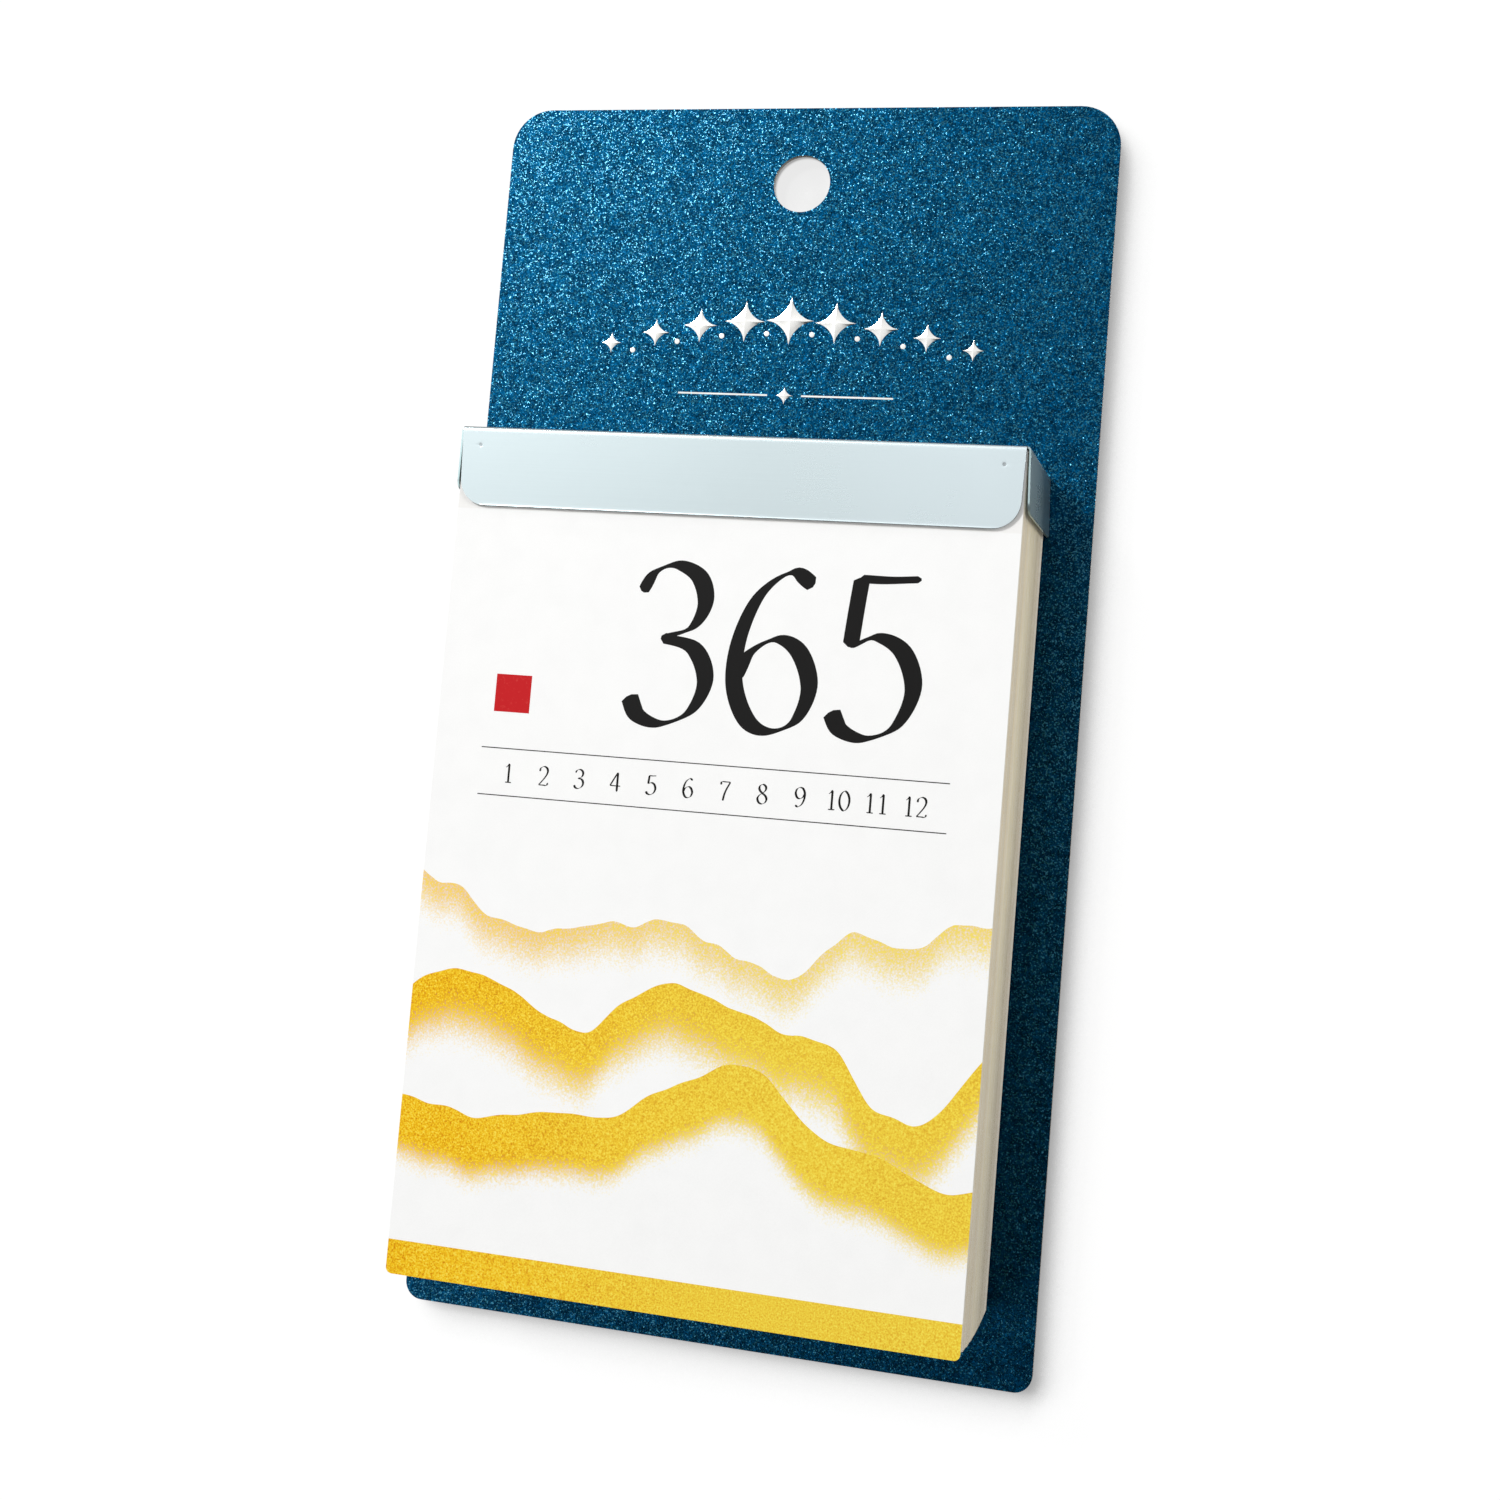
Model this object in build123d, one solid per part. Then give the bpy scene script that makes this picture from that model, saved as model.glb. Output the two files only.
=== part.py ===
"""Wall calendar with tear-off day leaves.

A pad of thin day leaves is stapled at its head and gripped by a folded tinplate clip, whose claws are
clinched through a laminated card board with a punched hang hole.

Frame, in millimetres: the origin is the hang hole's centre on the board's back face, +X is the viewer's
right, +Z is up and the leaves face -Y.
"""
from build123d import *
import math
import os

# Board: a card core with a face paper laminated on it
BOARD_WIDTH = 108.0
BOARD_HEIGHT = 209.0
BOARD_TOP_RADIUS = 7.0
BOARD_BOTTOM_RADIUS = 3.0
CORE_THICKNESS = 0.8
FACE_PAPER_THICKNESS = 0.15
HANG_HOLE_DIAMETER = 10.0
HANG_HOLE_BELOW_TOP = 13.3

# Pad: a back card, one leaf for each day and a cover sheet
LEAF_WIDTH = 92.0
LEAF_LENGTH = 121.0
LEAF_THICKNESS = 0.066
BACK_CARD_THICKNESS = 0.5
COVER_THICKNESS = 0.15
COVER_OVERHANG = 1.2
COVER_CORNER_RADIUS = 1.0
MONTHS = (
    ("january", 31),
    ("february", 28),
    ("march", 31),
    ("april", 30),
    ("may", 31),
    ("june", 30),
    ("july", 31),
    ("august", 31),
    ("september", 30),
    ("october", 31),
    ("november", 30),
    ("december", 31),
)
FIRST_WEEK = 7
SINGLE_LEAVES = 2

# Leaves never lie quite square: sideways and lengthwise wander, as waves of (share, turn per leaf),
# and the foot of the stack hangs lowest at its middle
SIDE_WANDER = 0.12
FOOT_WANDER = 0.35
FOOT_BULGE = 0.8
WANDER_WAVES = ((0.45, 0.11), (0.35, 0.53), (0.20, 2.40))

# Clip: one piece of folded tinplate
SHEET = 0.3
CLIP_BELOW_HOLE = 49.2
FLAP_HEIGHT = 12.8
FLAP_INSET = 0.3
FLAP_GAP = 0.25
FLAP_FOOT_SETBACK = 0.45
FLAP_CORNER_RADIUS = 4.2
FLANGE_HEIGHT = 10.5
FLANGE_CORNER_RADIUS = 2.0
FOLD_RADIUS = 0.45
EAR_HEIGHT = 10.2
EAR_GAP = 0.18
EAR_FLARE_ANGLE = 2.6
EAR_FRONT_RADIUS = 1.6
EAR_BACK_RADIUS = 1.0
EAR_RELIEF = 0.3
HEAD_GAP = 0.3
TEAR_GAP = 0.5
ACROSS_TOLERANCE = 0.01

# Dimples pressed into the flap's upper corners
DIMPLE_DIAMETER = 0.9
DIMPLE_DEPTH = 0.07
DIMPLE_FROM_SIDE = 3.0
DIMPLE_FROM_TOP = 2.3

# Claws of the clip, clinched in shallow recesses behind the board
CLAW_WIDTH = 8.0
CLAW_LENGTH = 7.0
CLAW_TIP_RADIUS = 2.0
CLAW_FROM_SIDE = 20.0
CLAW_DROP = 1.2
CLAW_FIT = 0.2
CLINCH_GAP = 0.05

# Flat wire staples through the head of the pad
STAPLE_WIRE = 0.4
STAPLE_WIRE_WIDTH = 0.9
STAPLE_CROWN = 14.0
STAPLE_FROM_SIDE = 21.0
STAPLE_BELOW_TOP = 5.0
STAPLE_CLINCH = 5.5
STAPLE_BEND = 0.7
STAPLE_GAP = 0.05

# Levels from the back of the board to the front of the clip, along -Y
LEAF_COUNT = sum(days for _, days in MONTHS)
BOARD_FRONT = -(CORE_THICKNESS + FACE_PAPER_THICKNESS)
FLANGE_FRONT = BOARD_FRONT - SHEET
CARD_BACK = FLANGE_FRONT - STAPLE_GAP - STAPLE_WIRE
CARD_FRONT = CARD_BACK - BACK_CARD_THICKNESS
PAD_FRONT = CARD_FRONT - LEAF_COUNT * LEAF_THICKNESS
COVER_FRONT = PAD_FRONT - COVER_THICKNESS
FLAP_BACK = COVER_FRONT - STAPLE_WIRE - FLAP_GAP
FLAP_FRONT = FLAP_BACK - SHEET

# Levels from the top of the board to its foot, along Z
BOARD_TOP = HANG_HOLE_BELOW_TOP
BOARD_FOOT = BOARD_TOP - BOARD_HEIGHT
CLIP_TOP = -CLIP_BELOW_HOLE
PAD_HEAD = CLIP_TOP - SHEET - HEAD_GAP
FLAP_FOOT = CLIP_TOP - FLAP_HEIGHT
TEAR_LINE = FLAP_FOOT - TEAR_GAP
LEAF_FOOT = TEAR_LINE - LEAF_LENGTH
COVER_FOOT = LEAF_FOOT - COVER_OVERHANG
FLANGE_FOOT = CLIP_TOP - FLANGE_HEIGHT
CLAW_Z = FLANGE_FOOT - CLAW_DROP

# Recess for a clinched claw, and the slot that it passes through
RECESS_DEPTH = SHEET + 2 * CLINCH_GAP
SLOT_WIDTH = CLAW_WIDTH + 2 * CLAW_FIT
SLOT_HEIGHT = SHEET + 2 * CLAW_FIT

# Places across the board, measured in from the sides of a leaf
HALF_LEAF = LEAF_WIDTH / 2
CLAW_CENTRES = (CLAW_FROM_SIDE - HALF_LEAF, HALF_LEAF - CLAW_FROM_SIDE)
STAPLE_CENTRES = {"left_staple": STAPLE_FROM_SIDE - HALF_LEAF, "right_staple": HALF_LEAF - STAPLE_FROM_SIDE}


def front_plane(y):
    """Sketch plane facing the viewer at depth y: sketch x is X, sketch y is Z, extruding goes to the front."""
    return Plane.XZ.offset(-y)


def board_ply(back, thickness):
    """One ply of the board, with its back at depth back: rounded outline, hang hole and two claw slots."""
    outline = Pos(0, (BOARD_TOP + BOARD_FOOT) / 2) * Rectangle(BOARD_WIDTH, BOARD_HEIGHT)
    outline = fillet(outline.vertices().group_by(Axis.Y)[-1], BOARD_TOP_RADIUS)
    outline = fillet(outline.vertices().group_by(Axis.Y)[0], BOARD_BOTTOM_RADIUS)
    outline -= Circle(HANG_HOLE_DIAMETER / 2)
    for x in CLAW_CENTRES:
        outline -= Pos(x, CLAW_Z) * Rectangle(SLOT_WIDTH, SLOT_HEIGHT)
    return extrude(front_plane(back) * outline, thickness)


def board_core():
    """Card core, with a shallow recess behind each slot where a claw is clinched."""
    core = board_ply(0, CORE_THICKNESS)
    top = CLAW_Z + SLOT_HEIGHT / 2
    foot = CLAW_Z - CLAW_LENGTH - CLAW_FIT
    for x in CLAW_CENTRES:
        recess = Pos(x, (top + foot) / 2) * Rectangle(SLOT_WIDTH, top - foot)
        core -= extrude(front_plane(0) * recess, RECESS_DEPTH)
    return core


def bent_strip(points, radius, thickness=SHEET):
    """Section of a folded sheet or flat wire: a band of one thickness along a line with rounded folds."""
    return trace(FilletPolyline(*points, radius=radius), line_width=thickness)


def across_sheet(edge):
    """Whether an edge of the clip runs from one face of the sheet to the other."""
    return math.isclose(edge.length, SHEET, rel_tol=ACROSS_TOLERANCE)


def round_corners(folded, front_radius, back_radius):
    """Folded sheet with its foremost and rearmost free corners rounded."""
    folded = fillet(folded.edges().filter_by(across_sheet).group_by(Axis.Y)[0], front_radius)
    return fillet(folded.edges().filter_by(across_sheet).group_by(Axis.Y)[-1], back_radius)


def clip_saddle():
    """Front flap, top and back flange, folded over the head of the pad, with the flap leaning in to grip it."""
    flap_y = FLAP_FRONT + SHEET / 2
    flange_y = BOARD_FRONT - SHEET / 2
    top_z = CLIP_TOP - SHEET / 2
    section = bent_strip(
        [(flap_y + FLAP_FOOT_SETBACK, FLAP_FOOT), (flap_y, top_z), (flange_y, top_z), (flange_y, FLANGE_FOOT)], FOLD_RADIUS
    )
    saddle = extrude(Plane.YZ * section, HALF_LEAF - FLAP_INSET, both=True)
    return round_corners(saddle, FLAP_CORNER_RADIUS, FLANGE_CORNER_RADIUS)


def clip_ears():
    """Side ears folded down from the top, standing a little outwards, with rounded lower corners."""
    front = FLAP_BACK + FOLD_RADIUS
    back = BOARD_FRONT - EAR_RELIEF
    top_z = CLIP_TOP - SHEET / 2
    drop = EAR_HEIGHT - SHEET / 2
    side = HALF_LEAF + EAR_GAP + SHEET / 2
    flared = side + drop * math.tan(math.radians(EAR_FLARE_ANGLE))
    section = bent_strip(
        [(-flared, top_z - drop), (-side, top_z), (side, top_z), (flared, top_z - drop)], FOLD_RADIUS
    )
    ears = extrude(front_plane(back) * section, back - front)
    return round_corners(ears, EAR_FRONT_RADIUS, EAR_BACK_RADIUS)


def clip_claw(x):
    """Claw from the flange's lower edge, through the board and down into its recess, with a rounded tip."""
    flange_y = BOARD_FRONT - SHEET / 2
    clinch_y = CLINCH_GAP + SHEET / 2 - RECESS_DEPTH
    section = bent_strip(
        [
            (flange_y, FLANGE_FOOT + CLAW_DROP),
            (flange_y, CLAW_Z),
            (clinch_y, CLAW_Z),
            (clinch_y, CLAW_Z - CLAW_LENGTH),
        ],
        SHEET,
    )
    claw = extrude(Plane.YZ * section, CLAW_WIDTH / 2, both=True)
    tip = claw.edges().filter_by(across_sheet).group_by(Axis.Z)[0]
    return Pos(x, 0, 0) * fillet(tip, CLAW_TIP_RADIUS)


def tinplate_clip():
    """The whole clip, with a shallow round dimple in each upper corner of the flap."""
    clip = clip_saddle() + clip_ears()
    for x in CLAW_CENTRES:
        clip += clip_claw(x)
    ball_radius = (DIMPLE_DIAMETER**2 / 4 + DIMPLE_DEPTH**2) / (2 * DIMPLE_DEPTH)
    dimple_x = HALF_LEAF - FLAP_INSET - DIMPLE_FROM_SIDE
    dimple_lean = FLAP_FOOT_SETBACK * DIMPLE_FROM_TOP / FLAP_HEIGHT
    dimple_y = FLAP_FRONT + dimple_lean + DIMPLE_DEPTH - ball_radius
    for x in (-dimple_x, dimple_x):
        clip -= Pos(x, dimple_y, CLIP_TOP - DIMPLE_FROM_TOP) * Sphere(ball_radius)
    return clip


def staple(x):
    """Wire staple: crown across the front of the pad, legs through it, ends clinched behind the back card."""
    crown_y = COVER_FRONT - STAPLE_WIRE / 2
    clinch_y = CARD_BACK + STAPLE_WIRE / 2
    left = x - STAPLE_CROWN / 2
    right = x + STAPLE_CROWN / 2
    route = [
        (left + STAPLE_CLINCH, clinch_y),
        (left, clinch_y),
        (left, crown_y),
        (right, crown_y),
        (right, clinch_y),
        (right - STAPLE_CLINCH, clinch_y),
    ]
    level = Plane.XY.offset(CLIP_TOP - STAPLE_BELOW_TOP)
    wire = bent_strip(route, STAPLE_BEND, STAPLE_WIRE)
    return extrude(level * wire, STAPLE_WIRE_WIDTH / 2, both=True)


def sheet(front, thickness, head, foot, shift=0.0):
    """Flat upright sheet as wide as a leaf, with its front at depth front."""
    return Pos(shift, front + thickness / 2, (head + foot) / 2) * Box(LEAF_WIDTH, thickness, head - foot)


def wander(leaf, reach):
    """How far one leaf of the stack lies from square: a sum of waves along the stack, within reach."""
    return reach * sum(share * math.sin(turn * leaf) for share, turn in WANDER_WAVES)


def foot_bulge(leaf):
    """How far a leaf hangs below the first and the last: nothing at the ends, most at the middle."""
    through = leaf / LEAF_COUNT
    return FOOT_BULGE * 4 * through * (1 - through)


def day_leaf(leaf, head):
    """Day leaf number leaf, counted from the front, from head down to the foot of the pad."""
    front = PAD_FRONT + leaf * LEAF_THICKNESS
    foot = LEAF_FOOT - foot_bulge(leaf) + wander(leaf, FOOT_WANDER)
    return sheet(front, LEAF_THICKNESS, head, foot, wander(leaf, SIDE_WANDER))


def leaf_stub(leaf):
    """Strip of a day leaf that stays under the flap when the leaf is torn off."""
    front = PAD_FRONT + leaf * LEAF_THICKNESS
    return sheet(front, LEAF_THICKNESS, PAD_HEAD, TEAR_LINE, wander(leaf, SIDE_WANDER))


def cover_sheet():
    """Cover below the tear line, a little longer than the leaves, with its lower corners just rounded."""
    cover = sheet(COVER_FRONT, COVER_THICKNESS, TEAR_LINE, COVER_FOOT)
    return fillet(cover.edges().filter_by(Axis.Y).group_by(Axis.Z)[0], COVER_CORNER_RADIUS)


def month_leaves():
    """Leaves of each month in one group, front to back, without the first week's leaves."""
    groups = {}
    first = 0
    for month, days in MONTHS:
        leaves = range(max(first, FIRST_WEEK), first + days)
        groups[f"{month}_leaves"] = Compound([day_leaf(leaf, PAD_HEAD) for leaf in leaves])
        first += days
    return groups


def calendar():
    """Every piece of the calendar by its node name."""
    pieces = {
        "board_core": board_core(),
        "board_face_paper": board_ply(-CORE_THICKNESS, FACE_PAPER_THICKNESS),
        "tinplate_clip": tinplate_clip(),
        "pad_back_card": sheet(CARD_FRONT, BACK_CARD_THICKNESS, PAD_HEAD, LEAF_FOOT),
        "cover_sheet": cover_sheet(),
        "cover_stub": sheet(COVER_FRONT, COVER_THICKNESS, PAD_HEAD, TEAR_LINE),
        "week_1_leaves": Compound([day_leaf(leaf, TEAR_LINE) for leaf in range(SINGLE_LEAVES, FIRST_WEEK)]),
        "week_1_stubs": Compound([leaf_stub(leaf) for leaf in range(FIRST_WEEK)]),
    }
    for name, x in STAPLE_CENTRES.items():
        pieces[name] = staple(x)
    for leaf in range(SINGLE_LEAVES):
        pieces[f"day_{leaf + 1}_leaf"] = day_leaf(leaf, TEAR_LINE)
    pieces.update(month_leaves())
    return pieces


os.makedirs("parts", exist_ok=True)
for node, piece in calendar().items():
    export_step(piece, f"parts/{node}.step")
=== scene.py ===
"""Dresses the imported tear-off day calendar: finishes, print, foil and studio.

Everything is in metres in the frame of the CAD model: the origin is the hang hole's centre on the back
of the board, +X is the viewer's right, +Z is up and the leaves face -Y.
"""
import bmesh
import bpy
import math
import numpy as np
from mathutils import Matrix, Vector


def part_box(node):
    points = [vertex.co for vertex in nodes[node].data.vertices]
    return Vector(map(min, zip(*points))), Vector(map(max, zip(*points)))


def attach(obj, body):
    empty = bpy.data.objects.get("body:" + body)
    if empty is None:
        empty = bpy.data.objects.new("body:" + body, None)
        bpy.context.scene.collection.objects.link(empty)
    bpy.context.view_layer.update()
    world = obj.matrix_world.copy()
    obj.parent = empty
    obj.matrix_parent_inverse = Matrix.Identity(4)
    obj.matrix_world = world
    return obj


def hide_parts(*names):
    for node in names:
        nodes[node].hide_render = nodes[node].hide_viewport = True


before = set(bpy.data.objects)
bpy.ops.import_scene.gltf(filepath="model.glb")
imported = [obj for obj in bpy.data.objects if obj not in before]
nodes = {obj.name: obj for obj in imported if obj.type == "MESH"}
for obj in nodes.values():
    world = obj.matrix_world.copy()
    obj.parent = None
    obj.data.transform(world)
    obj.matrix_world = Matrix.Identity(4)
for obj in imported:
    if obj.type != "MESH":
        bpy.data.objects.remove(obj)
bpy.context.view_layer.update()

MM = 0.001
WELD = 2e-7
SHARP_ANGLE = 35.0

# Camera of the photograph
CAMERA_PLACE = (0.0856, -0.3060, -0.1031)
CAMERA_TURN = (93.9045, -4.6597, 13.6510)
CAMERA_LENS = 45.10
CAMERA_SENSOR = 36.0
CAMERA_SHIFT = (-0.0453, -0.06)


def edges(node):
    """Lowest and highest corner of a CAD node, in millimetres."""
    return [[side / MM for side in corner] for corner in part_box(node)]


# Levels of the model, in millimetres
COVER_LOW, COVER_HIGH = edges("cover_sheet")
BOARD_FRONT = edges("board_face_paper")[0][1]
PAD_FRONT = edges("day_1_leaf")[0][1]
COVER_FRONT = COVER_LOW[1]
COVER_FOOT = COVER_LOW[2]
TEAR_LINE = COVER_HIGH[2]
HALF_LEAF = COVER_HIGH[0]
PAD_BACK = edges("pad_back_card")[0][1]
LEAF_THICKNESS = 0.066
COVER_THICKNESS = COVER_HIGH[1] - COVER_FRONT

# Clip
SHEET = 0.3
CLIP_TOP = edges("tinplate_clip")[1][2]
FLAP_FRONT = -27.39
FLAP_FOOT = TEAR_LINE + 0.5
FLAP_SETBACK = 0.38
FLAP_HALF = HALF_LEAF - 0.05
FLAP_TAPER = 0.4
LIP_REACH = 0.32
LIP_CURL = 0.03
FLAP_CORNER = 4.2
FLANGE_FOOT = CLIP_TOP - 10.5
FLANGE_CORNER = 2.0
FOLD_RADIUS = 0.45
DIMPLE_RADIUS = 0.45
DIMPLE_DEPTH = 0.022
DIMPLE_X = FLAP_HALF - 3.25
DIMPLE_Z = CLIP_TOP - 3.0
DIMPLE_FLOOR = 0.7 * DIMPLE_RADIUS
EAR_SIDE = HALF_LEAF + 0.33
EAR_DROP = 10.05
EAR_TUCK = 0.015
EAR_ROOT = 0.4
EAR_FLARES = {-1: 0.2, 1: 2.6}
EAR_FRONT = FLAP_FRONT + SHEET + FOLD_RADIUS
EAR_BACK = BOARD_FRONT - 0.3
EAR_FRONT_CORNER = 1.6
EAR_BACK_CORNER = 1.0
CLAW_HALF = 4.0
CLAW_X = HALF_LEAF - 20.0
CLAW_ROOT = 1.2
CLAW_Z = FLANGE_FOOT - CLAW_ROOT
CLAW_LENGTH = 7.0
CLAW_TIP = 2.0
CLINCH_Y = -0.2
EDGE_ROUNDING = 0.14

# Print
INK_THICKNESS = 0.02
INK_OVERLAP = 0.003
INK_CLEARANCE = 0.006
FOIL_SWELL = 0.045
STAR_HOLLOW = 0.62
BAND_TOP = -179.4


# Meshes


def grid_faces(rows, columns):
    """Quads of a grid whose points are counted row by row: with rows going down and columns going right
    they face the viewer."""
    first = (np.arange(rows - 1)[:, None] * columns + np.arange(columns - 1)).ravel()
    return np.stack([first, first + columns, first + columns + 1, first + 1], axis=1)


def join_shells(shells):
    """Points and faces of several (points, faces) shells, with each shell's face numbers moved on."""
    counts = [len(points) for points, _ in shells]
    starts = np.concatenate([[0], np.cumsum(counts)[:-1]])
    points = np.concatenate([points for points, _ in shells])
    faces = np.concatenate([faces + start for (_, faces), start in zip(shells, starts)])
    return points, faces


def grid_shell(x, y, z):
    """Shell of a grid surface from three equal arrays of millimetres, rows by columns."""
    points = np.stack([x.ravel(), y.ravel(), z.ravel()], axis=1) * MM
    return points, grid_faces(*x.shape)


def add_piece(name, shell, materials, body, replaced=(), finishes=None):
    """Mesh object from a shell, welded at its seams and poles, riding on a body. Each face takes the material
    whose number stands in finishes."""
    points, faces = shell
    mesh = bpy.data.meshes.new(name)
    mesh.from_pydata(points.tolist(), [], faces.tolist())
    for material in materials:
        mesh.materials.append(material)
    if finishes is not None:
        mesh.polygons.foreach_set("material_index", finishes.astype(np.int32))
    weld = bmesh.new()
    weld.from_mesh(mesh)
    bmesh.ops.remove_doubles(weld, verts=weld.verts, dist=WELD)
    weld.to_mesh(mesh)
    weld.free()
    mesh.polygons.foreach_set("use_smooth", np.ones(len(mesh.polygons), dtype=bool))
    mesh.set_sharp_from_angle(angle=math.radians(SHARP_ANGLE))
    mesh.update()
    piece = bpy.data.objects.new(name, mesh)
    bpy.context.scene.collection.objects.link(piece)
    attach(piece, body)
    if replaced:
        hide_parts(*replaced)
    return piece


def thicken(piece, thickness):
    """Wall of that thickness on a shell, half to each side; a cut rim takes the next of its materials."""
    wall = piece.modifiers.new("thickness", "SOLIDIFY")
    wall.thickness = thickness * MM
    wall.offset = 0.0
    wall.use_even_offset = True
    wall.material_offset_rim = 1


def round_edges(piece, width, segments=2):
    """Small rounding on every edge that turns by more than 40 degrees."""
    bevel = piece.modifiers.new("edge_rounding", "BEVEL")
    bevel.width = width * MM
    bevel.segments = segments
    bevel.limit_method = "ANGLE"
    bevel.angle_limit = math.radians(40)
    bevel.harden_normals = True


# Folded tinplate clip


def folded_line(corners, radius, arc_steps=8):
    """Points along a line with rounded folds, and the distance along it at each point.

    A fold that turns by an angle starts radius * tan(angle / 2) before its corner, and its points lie on
    the circle of that radius that touches both runs.
    """
    corners = np.asarray(corners, dtype=float)
    parts = [corners[:1]]
    for before, corner, after in zip(corners[:-2], corners[1:-1], corners[2:]):
        into = (corner - before) / np.linalg.norm(corner - before)
        out = (after - corner) / np.linalg.norm(after - corner)
        turn = math.acos(np.clip(into @ out, -1, 1))
        inward = (out - into) / np.linalg.norm(out - into)
        centre = corner + inward * radius / math.cos(turn / 2)
        angles = np.linspace(-turn / 2, turn / 2, arc_steps + 1)[:, None]
        along = (into + out) / np.linalg.norm(into + out)
        parts.append(centre + radius * (np.sin(angles) * along - np.cos(angles) * inward))
    parts.append(corners[-1:])
    line = np.concatenate(parts)
    steps = np.linalg.norm(np.diff(line, axis=0), axis=1)
    return line, np.concatenate([[0], np.cumsum(steps)])


def corner_cut(distance, radius):
    """How far a rounded corner cuts into the side at a distance from the end: r - sqrt(r^2 - (r - d)^2)."""
    inside = np.clip(radius - distance, 0, radius)
    return radius - np.sqrt(radius**2 - inside**2)


def corner_steps(radius, count=9):
    """Distances from the end at which a rounded corner is cut into equal angles: r * (1 - cos a)."""
    return radius * (1 - np.cos(np.linspace(0, math.pi / 2, count)))


def clip_saddle():
    """Flap, top and flange: the folded section carried across, narrowed at each end by its round corners
    and a little towards the flap's foot, whose lip curls forward as the square of the way down. The two
    dimples are pressed in as depth * (1 - (distance / radius)^2)."""
    flap_y = FLAP_FRONT + SHEET / 2
    flange_y = BOARD_FRONT - SHEET / 2
    top_z = CLIP_TOP - SHEET / 2
    flap_line = [(flap_y + FLAP_SETBACK, FLAP_FOOT), (flap_y, top_z)]
    flange_line = [(flange_y, top_z), (flange_y, FLANGE_FOOT)]
    line, along = folded_line(flap_line + flange_line, FOLD_RADIUS)
    length = along[-1]
    dimple_at = DIMPLE_Z - FLAP_FOOT
    near_dimple = np.linspace(-1.1, 1.1, 15) * DIMPLE_RADIUS
    rows = np.unique(np.round(np.concatenate([
        along,
        corner_steps(FLAP_CORNER, 13),
        length - corner_steps(FLANGE_CORNER),
        dimple_at + near_dimple,
        np.linspace(FLAP_CORNER, length - FLANGE_CORNER, 40),
    ]), 4))
    half = FLAP_HALF - corner_cut(rows, FLAP_CORNER) - corner_cut(length - rows, FLANGE_CORNER)
    half -= FLAP_TAPER * np.clip(1 - rows / (CLIP_TOP - FLAP_FOOT), 0, 1)
    columns = np.unique(np.round(np.concatenate([
        np.linspace(-FLAP_HALF, FLAP_HALF, 49),
        DIMPLE_X + near_dimple,
        -DIMPLE_X + near_dimple,
    ]), 4)) / FLAP_HALF
    x = half[:, None] * columns
    y = np.interp(rows, along, line[:, 0])[:, None] + 0 * x
    z = np.interp(rows, along, line[:, 1])[:, None] + 0 * x
    reach = np.hypot(np.abs(x) - DIMPLE_X, z - DIMPLE_Z) / DIMPLE_RADIUS
    on_flap = rows[:, None] < CLIP_TOP - FLAP_FOOT
    y = y + np.where(on_flap, DIMPLE_DEPTH * np.clip(1 - reach**2, 0, None), 0)
    y = y - LIP_CURL * np.clip(1 - rows / LIP_REACH, 0, 1)[:, None] ** 2
    return grid_shell(x, y, z)


def in_dimple(shell):
    """Which faces of a shell lie in the bottom of a pressed dimple."""
    points, faces = shell
    x, y, z = points[faces].mean(axis=1).T / MM
    close = np.hypot(np.abs(x) - DIMPLE_X, z - DIMPLE_Z) < DIMPLE_FLOOR
    return close & (y < FLAP_FRONT + 1)


def clip_ear(side):
    """One ear: the line from just under the top and down the flared side, carried from front to back, with
    the lower corners rounded."""
    top_z = CLIP_TOP - SHEET / 2 - EAR_TUCK
    flared = EAR_SIDE + EAR_DROP * math.tan(math.radians(EAR_FLARES[side]))
    line, along = folded_line(
        [(FLAP_HALF - EAR_ROOT, top_z), (EAR_SIDE, top_z), (flared, top_z - EAR_DROP)], FOLD_RADIUS
    )
    length = along[-1]
    rows = np.unique(np.round(np.concatenate([
        along,
        length - corner_steps(EAR_FRONT_CORNER),
        length - corner_steps(EAR_BACK_CORNER),
        np.linspace(0, length, 14),
    ]), 4))
    front = EAR_FRONT + corner_cut(length - rows, EAR_FRONT_CORNER)
    back = EAR_BACK - corner_cut(length - rows, EAR_BACK_CORNER)
    share = np.linspace(0, 1, 20)
    y = front[:, None] + (back - front)[:, None] * share
    x = side * np.interp(rows, along, line[:, 0])[:, None] + 0 * y
    z = np.interp(rows, along, line[:, 1])[:, None] + 0 * y
    if side > 0:
        return grid_shell(x[:, ::-1], y[:, ::-1], z[:, ::-1])
    return grid_shell(x, y, z)


def clip_claw(centre):
    """One claw: the line from the flange through the board and down behind it, carried across its width,
    with a rounded tip."""
    flange_y = BOARD_FRONT - SHEET / 2
    root_line = [(flange_y, FLANGE_FOOT + CLAW_ROOT), (flange_y, CLAW_Z)]
    clinch_line = [(CLINCH_Y, CLAW_Z), (CLINCH_Y, CLAW_Z - CLAW_LENGTH)]
    line, along = folded_line(root_line + clinch_line, SHEET)
    length = along[-1]
    rows = np.unique(np.round(np.concatenate([along, length - corner_steps(CLAW_TIP)]), 4))
    half = CLAW_HALF - corner_cut(length - rows, CLAW_TIP)
    x = centre + half[:, None] * np.linspace(-1, 1, 9)
    y = np.interp(rows, along, line[:, 0])[:, None] + 0 * x
    z = np.interp(rows, along, line[:, 1])[:, None] + 0 * x
    return grid_shell(x, y, z)


# Thin solids that lie on a sheet


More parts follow.
